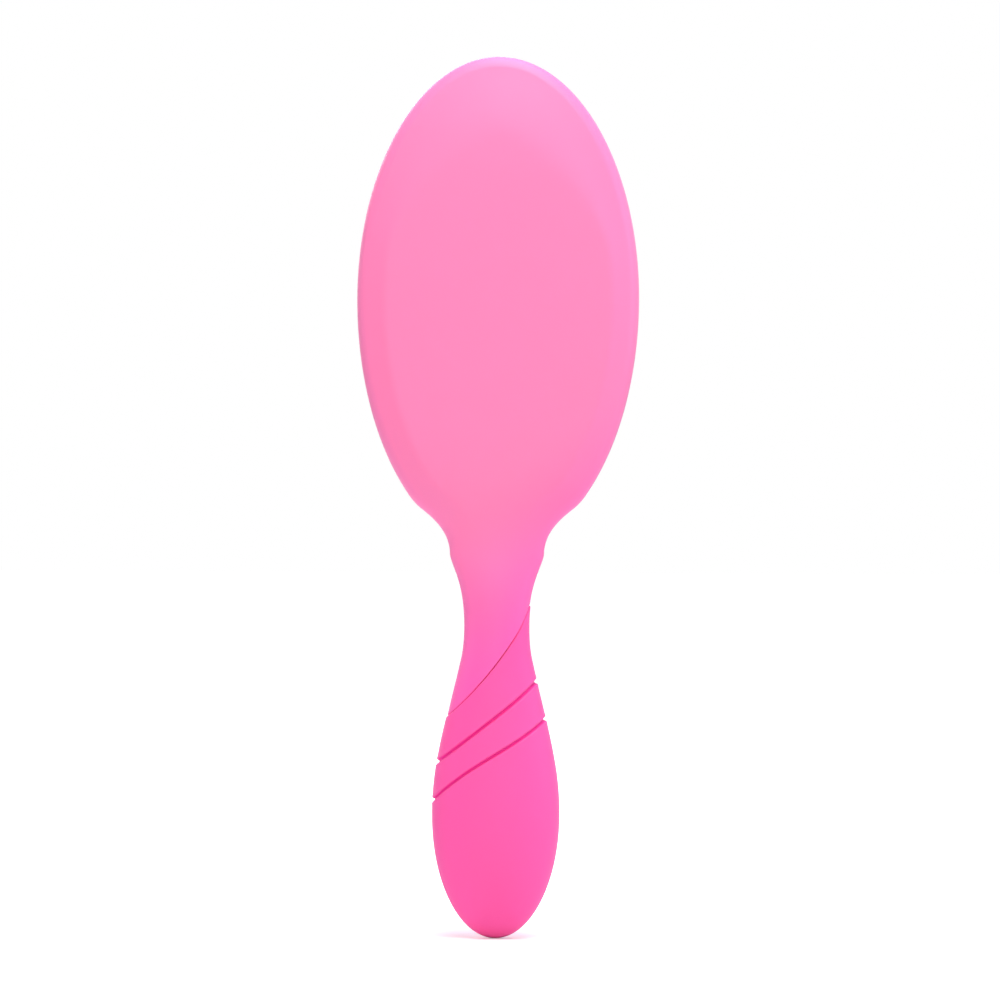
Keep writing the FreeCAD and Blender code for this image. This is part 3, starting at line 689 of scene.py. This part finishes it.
def overmoulded_tpe():
    """TPE rubber moulded over the handle: duller than the shell, with a fine spark-eroded grain."""
    base = bpy.context.scene.brush_colours.grip
    gloss = {"IOR": 1.5, "Specular IOR Level": 0.35, "Sheen Weight": 0.25, "Sheen Roughness": 0.35}
    # The groove colour is painted shade in the grooves
    painted_groove_shade = bpy.context.scene.brush_colours.groove
    return moulded("overmoulded_tpe", base, 0.02, 18, 0.3, 0.008, 0.56, gloss, painted_groove_shade=painted_groove_shade)


def moulded_rubber():
    """Natural rubber moulded thin: matt and even, a little translucent."""
    base = bpy.context.scene.brush_colours.cushion
    gloss = {"IOR": 1.52, "Specular IOR Level": 0.3, "Subsurface Weight": 0.1, "Subsurface Scale": 0.002}
    return moulded("moulded_natural_rubber", base, 0.03, 15, 0.4, 0.01, 0.6, gloss)


def drawn_nylon():
    """Nylon drawn to a taper: glossy and slightly see-through, so its colour is soft."""
    base = bpy.context.scene.brush_colours.bristles
    gloss = {"IOR": 1.53, "Subsurface Weight": 0.3, "Subsurface Scale": 0.0015}
    return moulded("drawn_nylon", base, 0.05, 6, 0.3, 0.003, 0.3, gloss)


def dipped_resin():
    """Resin dipped in drops: a hard, smooth, shining bead."""
    base = bpy.context.scene.brush_colours.beads
    gloss = {"IOR": 1.5, "Coat Weight": 0.4, "Coat Roughness": 0.1}
    return moulded("dipped_resin", base, 0.03, 3, 0.4, 0.002, 0.2, gloss)


class BRUSH_OT_shell(bpy.types.Operator):
    """Model the head's back, the neck and the handle core as one moulding"""

    bl_idname = "brush.shell"
    bl_label = "Shell"

    def execute(self, context):
        patches = shell_patches(sizes_in_mm())
        add_piece("moulded_shell", patches, soft_touch_abs(), "handle", ["body_shell"])
        return {"FINISHED"}


class BRUSH_OT_frame(bpy.types.Operator):
    """Model the oval frame round the cushion"""

    bl_idname = "brush.frame"
    bl_label = "Front frame"

    def execute(self, context):
        patches = frame_patches(sizes_in_mm())
        add_piece("cushion_frame", patches, soft_touch_abs(), "handle", ["front_frame"])
        return {"FINISHED"}


class BRUSH_OT_grip(bpy.types.Operator):
    """Model the grooved rubber sleeve of the handle"""

    bl_idname = "brush.grip"
    bl_label = "Grip"

    def execute(self, context):
        s = sizes_in_mm()
        patches = grip_patches(s)
        sleeve = add_piece("rubber_grip", patches, overmoulded_tpe(), "handle", ["grip"], 60)
        groove_shade_share(sleeve.data, s)
        return {"FINISHED"}


class BRUSH_OT_cushion(bpy.types.Operator):
    """Model the domed rubber cushion"""

    bl_idname = "brush.cushion"
    bl_label = "Cushion"

    def execute(self, context):
        s = sizes_in_mm()
        pad = add_piece(
            "domed_cushion", cushion_patches(s), moulded_rubber(), None, ["cushion"], 50
        )
        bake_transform(pad)
        return {"FINISHED"}


class BRUSH_OT_bristles(bpy.types.Operator):
    """Model the bristles and their beads, one pair of pieces for each leaning column"""

    bl_idname = "brush.bristles"
    bl_label = "Bristles"

    def execute(self, context):
        s = sizes_in_mm()
        nylon, resin = drawn_nylon(), dipped_resin()
        for number in range(1, COLUMNS + 1):
            column = f"column_{number:02d}"
            pins, beads = f"bristles_{number:02d}", f"tips_{number:02d}"
            add_piece(f"pins_{number:02d}", pin_patches(number, s), nylon, column, [pins])
            add_piece(f"beads_{number:02d}", bead_patches(number, s), resin, column, [beads], 80)
        return {"FINISHED"}


class BRUSH_OT_stage(bpy.types.Operator):
    """Set out the white floor, the soft lamps, the pale surround and the camera"""

    bl_idname = "brush.stage"
    bl_label = "Stage"

    def execute(self, context):
        s = sizes_in_mm()
        add_floor(-s.tip_drop * MM)
        add_surround()
        aim = (0, 0, 0.1)
        add_lamp("key_softbox", (0.1, -0.42, 0.74), aim, 0.5, 5.2, "#fff0d8")
        add_lamp("top_softbox", (0.05, -0.06, 0.7), aim, 0.35, 2.9, "#ccd0ff")
        add_lamp("right_softbox", (0.8, -0.12, 0.26), aim, 0.4, 2.1, "#d4d4ff")
        add_lamp("left_softbox", (-0.8, -0.12, 0.2), aim, 0.4, 1.1, "#f0c0ff")
        add_lamp("low_softbox", (-0.1, -1.0, 0.05), aim, 0.8, 1.5, "#fff0e8")
        add_lamp("front_softbox", (-0.25, 0.8, 0.6), aim, 0.6, 5.4, "#ffffff")
        add_camera()
        return {"FINISHED"}


def add_floor(level):
    """A wide sheet of white paper. The camera sees it a little brighter than it is lit, so that it is white,
    and the brush's shadow on it stays."""
    material, tree, place = new_material("white_paper")
    tint = bpy.context.scene.brush_colours.floor
    fibre = add_node(tree, "ShaderNodeTexNoise", {"Vector": place, "Scale": 1 / (2 * MM)})
    lift = add_node(tree, "ShaderNodeBump", {"Height": fibre.outputs["Fac"], "Distance": 0.02 * MM})
    paper = add_node(
        tree, "ShaderNodeBsdfDiffuse", {"Color": (*tint, 1), "Normal": lift.outputs["Normal"]}
    )
    centre = add_node(tree, "ShaderNodeVectorMath", {0: place, 1: (0, 0, level)}, operation="DISTANCE")
    far = add_node(tree, "ShaderNodeMapRange", {
        "Value": centre.outputs["Value"], "From Min": 15 * MM, "From Max": 80 * MM, "To Min": 0.3, "To Max": 1,
    })
    seen = add_node(tree, "ShaderNodeLightPath").outputs["Is Camera Ray"]
    strength = add_node(tree, "ShaderNodeMath", {0: seen, 1: far.outputs["Result"]}, operation="MULTIPLY")
    glow = add_node(tree, "ShaderNodeEmission", {"Strength": strength.outputs["Value"]})
    both = add_node(tree, "ShaderNodeAddShader")
    tree.links.new(paper.outputs["BSDF"], both.inputs[0])
    tree.links.new(glow.outputs["Emission"], both.inputs[1])
    add_node(tree, "ShaderNodeOutputMaterial", {"Surface": both.outputs["Shader"]})
    half = 6.0
    mesh = bpy.data.meshes.new("floor")
    mesh.from_pydata(
        [(-half, -half, level), (half, -half, level), (half, half, level), (-half, half, level)],
        [], [(0, 1, 2, 3)],
    )
    mesh.materials.append(material)
    floor = bpy.data.objects.new("floor", mesh)
    bpy.context.scene.collection.objects.link(floor)


def add_surround():
    """An even surround that lights softly, and that the camera and reflections see as white."""
    world = bpy.data.worlds.new("surround")
    world.use_nodes = True
    tree = world.node_tree
    tree.nodes.clear()
    path = add_node(tree, "ShaderNodeLightPath")
    seen = path.outputs["Is Camera Ray"]
    for ray in ("Is Glossy Ray", "Is Transmission Ray"):
        more = add_node(tree, "ShaderNodeMath", operation="MAXIMUM")
        tree.links.new(seen, more.inputs[0])
        tree.links.new(path.outputs[ray], more.inputs[1])
        seen = more.outputs["Value"]
    level = add_node(tree, "ShaderNodeMapRange", {"Value": seen, "To Min": 0.16, "To Max": 1.0})
    light = add_node(
        tree, "ShaderNodeBackground", {"Color": (1, 1, 1, 1), "Strength": level.outputs["Result"]}
    )
    add_node(tree, "ShaderNodeOutputWorld", {"Surface": light.outputs["Background"]})
    bpy.context.scene.world = world


def add_lamp(name, place, aim, size, power, tint):
    """A square soft lamp turned towards a point."""
    lamp = bpy.data.lights.new(name, "AREA")
    lamp.size = size
    lamp.energy = power
    lamp.color = linear(tint)
    body = bpy.data.objects.new(name, lamp)
    body.location = place
    away = Vector(place) - Vector(aim)
    body.rotation_euler = away.to_track_quat("Z", "Y").to_euler()
    bpy.context.scene.collection.objects.link(body)


def add_camera():
    """A long lens, level, looking straight at the back. The picture is 252 mm wide at the brush's axis, its
    centre is 79.4 mm above the grip's widest section, and it is turned by a quarter of a degree."""
    distance, picture = 1.2, 0.252
    lens = bpy.data.cameras.new("camera")
    lens.sensor_width = 36
    lens.lens = lens.sensor_width * distance / picture
    camera = bpy.data.objects.new("camera", lens)
    camera.location = (0.0007, -distance, 0.0794)
    camera.rotation_euler = (math.radians(90), math.radians(-0.28), 0)
    bpy.context.scene.collection.objects.link(camera)
    bpy.context.scene.camera = camera


class BRUSH_PT_panel(bpy.types.Panel):
    """The brush's pieces, sizes and colours"""

    bl_idname = "BRUSH_PT_panel"
    bl_label = "Detangling brush"
    bl_space_type = "VIEW_3D"
    bl_region_type = "UI"
    bl_category = "Brush"

    def draw(self, context):
        column = self.layout.column(align=True)
        for step in STEPS:
            column.operator(step.bl_idname)
        for group, kind in (("brush_colours", BrushColours), ("brush_sizes", BrushSizes)):
            for name in kind.__annotations__:
                column.prop(getattr(context.scene, group), name)


COLUMNS = sum(name.startswith("bristles_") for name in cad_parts)
STEPS = (
    BRUSH_OT_shell, BRUSH_OT_frame, BRUSH_OT_grip, BRUSH_OT_cushion, BRUSH_OT_bristles, BRUSH_OT_stage,
)
CLASSES = (BrushSizes, BrushColours, *STEPS, BRUSH_PT_panel)


def register():
    for kind in CLASSES:
        bpy.utils.register_class(kind)
    bpy.types.Scene.brush_sizes = bpy.props.PointerProperty(type=BrushSizes)
    bpy.types.Scene.brush_colours = bpy.props.PointerProperty(type=BrushColours)


def unregister():
    del bpy.types.Scene.brush_colours
    del bpy.types.Scene.brush_sizes
    for kind in reversed(CLASSES):
        bpy.utils.unregister_class(kind)


def main():
    register()
    bpy.context.scene.view_settings.view_transform = "Standard"
    bpy.ops.brush.shell()
    bpy.ops.brush.frame()
    bpy.ops.brush.grip()
    bpy.ops.brush.cushion()
    bpy.ops.brush.bristles()
    bpy.ops.brush.stage()


if __name__ == "__main__":
    main()
